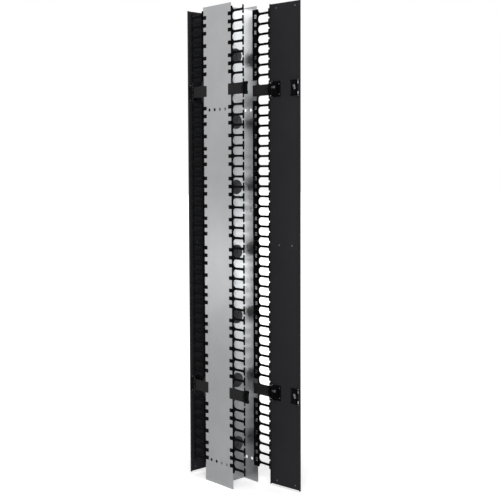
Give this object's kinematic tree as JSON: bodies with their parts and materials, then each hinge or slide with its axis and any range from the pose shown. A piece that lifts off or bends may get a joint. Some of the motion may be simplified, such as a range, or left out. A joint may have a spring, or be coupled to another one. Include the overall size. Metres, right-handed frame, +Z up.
{
  "type": "vertical cable manager",
  "caption": "Tall two-sided vertical cable manager: H-shaped metal spine with comb fingers on its edges, spools in the troughs, and pin-hung channel doors with turn latches.",
  "frame": {"origin": "middle of the spine's foot, on the floor, at the bottom edge of the cross web", "axes": "+Z up, -Y towards the open front door's side, +X to the right seen from the front"},
  "size_m": [0.1907, 0.5602, 2.1336],
  "materials": {
    "zinc_steel": "satin zinc-plated sheet",
    "finger_plastic": "fine-grained moulded",
    "block_plastic": "fine-grained moulded",
    "receiver_plastic": "moulded",
    "door_paint": "fine-textured powder coat",
    "latch_plastic": "moulded",
    "spool_plastic": "moulded",
    "bright_steel": "bright zinc",
    "black_steel": "black oxide"
  },
  "bodies": {
    "spine": {"spine_left_wall": "zinc_steel", "spine_right_wall": "zinc_steel", "spine_web": "zinc_steel", "web_rivets": "zinc_steel", "front_left_fingers_top": "finger_plastic", "front_left_fingers_middle": "finger_plastic", "front_left_fingers_bottom": "finger_plastic", "front_right_fingers_top": "finger_plastic", "front_right_fingers_middle": "finger_plastic", "front_right_fingers_bottom": "finger_plastic", "rear_left_fingers_top": "finger_plastic", "rear_left_fingers_middle": "finger_plastic", "rear_left_fingers_bottom": "finger_plastic", "rear_right_fingers_top": "finger_plastic", "rear_right_fingers_middle": "finger_plastic", "rear_right_fingers_bottom": "finger_plastic", "front_left_hinge_blocks": "block_plastic", "front_right_hinge_blocks": "block_plastic", "rear_left_hinge_blocks": "block_plastic", "rear_right_hinge_blocks": "block_plastic", "front_left_receivers": "receiver_plastic", "front_right_receivers": "receiver_plastic", "rear_left_receivers": "receiver_plastic", "rear_right_receivers": "receiver_plastic", "receiver_screws": "black_steel", "front_spools": "spool_plastic", "rear_spools": "spool_plastic", "spool_screws": "bright_steel"},
    "front_door": {"front_door_panel": "door_paint", "front_door_latch_bases": "latch_plastic", "front_door_latch_housings": "latch_plastic", "front_door_hinge_pins": "bright_steel", "front_door_rivets": "bright_steel", "front_door_plate": "latch_plastic", "front_door_plate_screws": "bright_steel"},
    "rear_door": {"rear_door_panel": "door_paint", "rear_door_latch_bases": "latch_plastic", "rear_door_latch_housings": "latch_plastic", "rear_door_hinge_pins": "bright_steel", "rear_door_rivets": "bright_steel", "rear_door_plate": "latch_plastic", "rear_door_plate_screws": "bright_steel"},
    "front_upper_hinge_latch": {"front_upper_hinge_pawl": "bright_steel", "front_upper_hinge_knob": "latch_plastic"},
    "front_lower_hinge_latch": {"front_lower_hinge_pawl": "bright_steel", "front_lower_hinge_knob": "latch_plastic"},
    "front_upper_free_latch": {"front_upper_free_pawl": "bright_steel", "front_upper_free_knob": "latch_plastic"},
    "front_lower_free_latch": {"front_lower_free_pawl": "bright_steel", "front_lower_free_knob": "latch_plastic"},
    "rear_upper_hinge_latch": {"rear_upper_hinge_pawl": "bright_steel", "rear_upper_hinge_knob": "latch_plastic"},
    "rear_lower_hinge_latch": {"rear_lower_hinge_pawl": "bright_steel", "rear_lower_hinge_knob": "latch_plastic"},
    "rear_upper_free_latch": {"rear_upper_free_pawl": "bright_steel", "rear_upper_free_knob": "latch_plastic"},
    "rear_lower_free_latch": {"rear_lower_free_pawl": "bright_steel", "rear_lower_free_knob": "latch_plastic"}
  },
  "joints": [
    {"name": "front_door_hinge", "type": "hinge", "parent": "spine", "child": "front_door", "pos_m": [0.0735, -0.192, 0.4294], "axis": [0, 0, 1], "range_deg": [-96, 14]},
    {"name": "rear_door_hinge", "type": "hinge", "parent": "spine", "child": "rear_door", "pos_m": [-0.0735, 0.192, 0.4294], "axis": [0, 0, 1], "range_deg": [0, 110]},
    {"name": "front_upper_hinge_latch_turn", "type": "hinge", "parent": "front_door", "child": "front_upper_hinge_latch", "pos_m": [0.08279, -0.20862, 1.7709], "axis": [-0.9945, -0.1045, 0], "range_deg": [0, 70]},
    {"name": "front_upper_free_latch_turn", "type": "hinge", "parent": "front_door", "child": "front_upper_free_latch", "pos_m": [0.0945, -0.32001, 1.7709], "axis": [-0.9945, -0.1045, 0], "range_deg": [0, 70]},
    {"name": "front_lower_hinge_latch_turn", "type": "hinge", "parent": "front_door", "child": "front_lower_hinge_latch", "pos_m": [0.08279, -0.20862, 0.4374], "axis": [-0.9945, -0.1045, 0], "range_deg": [0, 70]},
    {"name": "front_lower_free_latch_turn", "type": "hinge", "parent": "front_door", "child": "front_lower_free_latch", "pos_m": [0.0945, -0.32001, 0.4374], "axis": [-0.9945, -0.1045, 0], "range_deg": [0, 70]},
    {"name": "rear_upper_hinge_latch_turn", "type": "hinge", "parent": "rear_door", "child": "rear_upper_hinge_latch", "pos_m": [-0.056, 0.1995, 1.7709], "axis": [0, -1, 0], "range_deg": [0, 70]},
    {"name": "rear_upper_free_latch_turn", "type": "hinge", "parent": "rear_door", "child": "rear_upper_free_latch", "pos_m": [0.056, 0.1995, 1.7709], "axis": [0, -1, 0], "range_deg": [0, 70]},
    {"name": "rear_lower_hinge_latch_turn", "type": "hinge", "parent": "rear_door", "child": "rear_lower_hinge_latch", "pos_m": [-0.056, 0.1995, 0.4374], "axis": [0, -1, 0], "range_deg": [0, 70]},
    {"name": "rear_lower_free_latch_turn", "type": "hinge", "parent": "rear_door", "child": "rear_lower_free_latch", "pos_m": [0.056, 0.1995, 0.4374], "axis": [0, -1, 0], "range_deg": [0, 70]}
  ]
}
